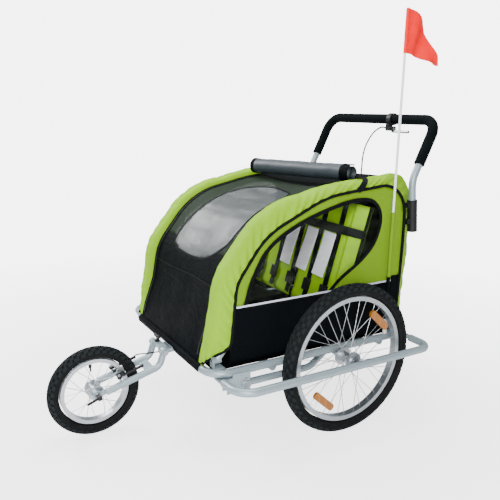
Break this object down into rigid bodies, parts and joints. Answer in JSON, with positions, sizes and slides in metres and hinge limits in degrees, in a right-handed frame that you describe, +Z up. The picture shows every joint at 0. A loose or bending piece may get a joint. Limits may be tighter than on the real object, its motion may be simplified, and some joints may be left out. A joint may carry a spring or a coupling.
{
  "type": "child bicycle trailer",
  "caption": "Two-seat fabric child trailer on a tube frame with large rear wheels, a folding front wheel arm, a tow bar, a push handle and a safety flag.",
  "frame": {"origin": "on the ground, under the middle of the whole outline, 217 mm ahead of the rear axle", "axes": "+Z up, -Y towards the nose and front wheel, +X towards the trailer's left side"},
  "size_m": [0.8852, 1.3005, 1.335],
  "materials": {
    "silver_paint": "satin silver powder coat",
    "zinc_steel": "zinc plated",
    "alloy": "satin",
    "tyre_rubber": "matte",
    "black_plastic": "moulded",
    "foam": "closed-cell foam",
    "amber_plastic": "prismatic",
    "lime_cloth": "woven polyester",
    "black_cloth": "woven polyester",
    "white_glassfibre": "smooth",
    "red_cloth": "nylon"
  },
  "bodies": {
    "frame": {"base_frame": "silver_paint", "left_guard_bar": "silver_paint", "right_guard_bar": "silver_paint", "guard_bar_bolts": "zinc_steel", "floor_pan": "black_cloth", "left_axle": "zinc_steel", "right_axle": "zinc_steel", "hoop_brackets": "silver_paint", "hoop_pins": "zinc_steel", "tow_receiver": "silver_paint", "tow_bolt": "zinc_steel", "tow_lock_pin": "zinc_steel", "arm_bracket": "silver_paint", "arm_pin": "zinc_steel", "handle_sleeves": "black_plastic", "brake_cable": "black_plastic", "flag_pole": "white_glassfibre", "flag": "red_cloth", "seat": "lime_cloth", "harness": "black_cloth", "rolled_cover": "black_cloth", "left_cover": "lime_cloth", "right_cover": "lime_cloth"},
    "left_button": {"left_axle_button": "black_plastic"},
    "right_button": {"right_axle_button": "black_plastic"},
    "tow": {"tow_bar": "silver_paint", "tow_coupler": "black_plastic"},
    "arm_knob": {"arm_lock_knob": "black_plastic"},
    "arm": {"front_arm": "silver_paint", "front_axle": "zinc_steel"},
    "qr_lever": {"front_qr_lever": "black_plastic"},
    "brake_left": {"left_brake_arm": "black_plastic"},
    "brake_right": {"right_brake_arm": "black_plastic"},
    "front_wheel": {"front_tyre": "tyre_rubber", "front_rim": "alloy", "front_spoke_set": "zinc_steel", "front_hub": "alloy", "front_bearings": "zinc_steel"},
    "left_wheel": {"left_tyre": "tyre_rubber", "left_rim": "alloy", "left_spoke_set": "zinc_steel", "left_hub": "alloy", "left_bearings": "zinc_steel", "left_reflectors": "amber_plastic"},
    "right_wheel": {"right_tyre": "tyre_rubber", "right_rim": "alloy", "right_spoke_set": "zinc_steel", "right_hub": "alloy", "right_bearings": "zinc_steel", "right_reflectors": "amber_plastic"},
    "left_side": {"left_hoop": "silver_paint", "left_side_panel": "lime_cloth"},
    "right_side": {"right_hoop": "silver_paint", "right_side_panel": "lime_cloth"},
    "left_elbow": {"left_spreader": "silver_paint"},
    "right_elbow": {"right_spreader": "silver_paint"},
    "handle": {"handlebar": "silver_paint", "handle_foam": "foam", "brake_lever_clamp": "black_plastic"},
    "lever": {"brake_lever": "zinc_steel"}
  },
  "joints": [
    {"name": "left_wheel_spin", "type": "hinge", "parent": "frame", "child": "left_wheel", "pos_m": [0.372, 0.21725, 0.25], "axis": [1, 0, 0], "continuous": true},
    {"name": "right_wheel_spin", "type": "hinge", "parent": "frame", "child": "right_wheel", "pos_m": [-0.372, 0.21725, 0.25], "axis": [1, 0, 0], "continuous": true},
    {"name": "front_arm_fold", "type": "hinge", "parent": "frame", "child": "arm", "pos_m": [0, -0.28275, 0.252], "axis": [1, 0, 0], "range_deg": [0, 88]},
    {"name": "front_wheel_spin", "type": "hinge", "parent": "arm", "child": "front_wheel", "pos_m": [0, -0.50275, 0.1475], "axis": [1, 0, 0], "continuous": true},
    {"name": "front_qr_swing", "type": "hinge", "parent": "arm", "child": "qr_lever", "pos_m": [0.06, -0.50275, 0.1475], "axis": [0, -0.2625, 0.9649], "range_deg": [0, 80]},
    {"name": "arm_knob_pull", "type": "slide", "parent": "frame", "child": "arm_knob", "axis": [0, 0, 1], "range_m": [0, 0.012], "stiffness_N_per_m": 600},
    {"name": "left_button_press", "type": "slide", "parent": "frame", "child": "left_button", "axis": [-1, 0, 0], "range_m": [0, 0.0028], "stiffness_N_per_m": 800},
    {"name": "right_button_press", "type": "slide", "parent": "frame", "child": "right_button", "axis": [1, 0, 0], "range_m": [0, 0.0028], "stiffness_N_per_m": 800},
    {"name": "tow_bar_swing", "type": "hinge", "parent": "frame", "child": "tow", "pos_m": [0.316, -0.18675, 0.222], "axis": [-1, 0, 0], "range_deg": [0, 180]},
    {"name": "handlebar_lift", "type": "slide", "parent": "frame", "child": "handle", "axis": [0, -0.1035, 0.9946], "range_m": [0, 0.09]},
    {"name": "brake_lever_squeeze", "type": "hinge", "parent": "handle", "child": "lever", "pos_m": [0.09, 0.61325, 0.966], "axis": [0, -1, 0], "range_deg": [0, 16], "stiffness_Nm_per_rad": 0.5},
    {"name": "left_brake_close", "type": "hinge", "parent": "arm", "child": "brake_left", "pos_m": [0.042, -0.42556, 0.1685], "axis": [0, -0.2625, 0.9649], "range_deg": [0, 3.6]},
    {"name": "right_brake_close", "type": "hinge", "parent": "arm", "child": "brake_right", "pos_m": [-0.042, -0.42556, 0.1685], "axis": [0, 0.2625, -0.9649], "range_deg": [0, 3.6]},
    {"name": "left_side_fold", "type": "hinge", "parent": "frame", "child": "left_side", "pos_m": [0.283, 0.21725, 0.3], "axis": [0, -1, 0], "range_deg": [0, 90], "deforming": ["left_cover", "right_cover", "rolled_cover", "seat", "harness"]},
    {"name": "right_side_fold", "type": "hinge", "parent": "frame", "child": "right_side", "pos_m": [-0.283, 0.21725, 0.345], "axis": [0, 1, 0], "range_deg": [0, 90], "deforming": ["left_cover", "right_cover", "rolled_cover", "seat", "harness"]},
    {"name": "left_elbow_fold", "type": "hinge", "parent": "left_side", "child": "left_elbow", "pos_m": [0.283, 0.44525, 0.735], "axis": [0, 0, 1], "range_deg": [0, 90]},
    {"name": "right_elbow_fold", "type": "hinge", "parent": "right_side", "child": "right_elbow", "pos_m": [-0.283, 0.44525, 0.735], "axis": [0, 0, -1], "range_deg": [0, 90]}
  ],
  "couplings": [
    {"joint": "left_elbow_fold", "follows": "left_side_fold", "ratio": 1},
    {"joint": "right_elbow_fold", "follows": "right_side_fold", "ratio": 1},
    {"joint": "left_brake_close", "follows": "brake_lever_squeeze", "ratio": 0.22},
    {"joint": "right_brake_close", "follows": "brake_lever_squeeze", "ratio": 0.22}
  ]
}
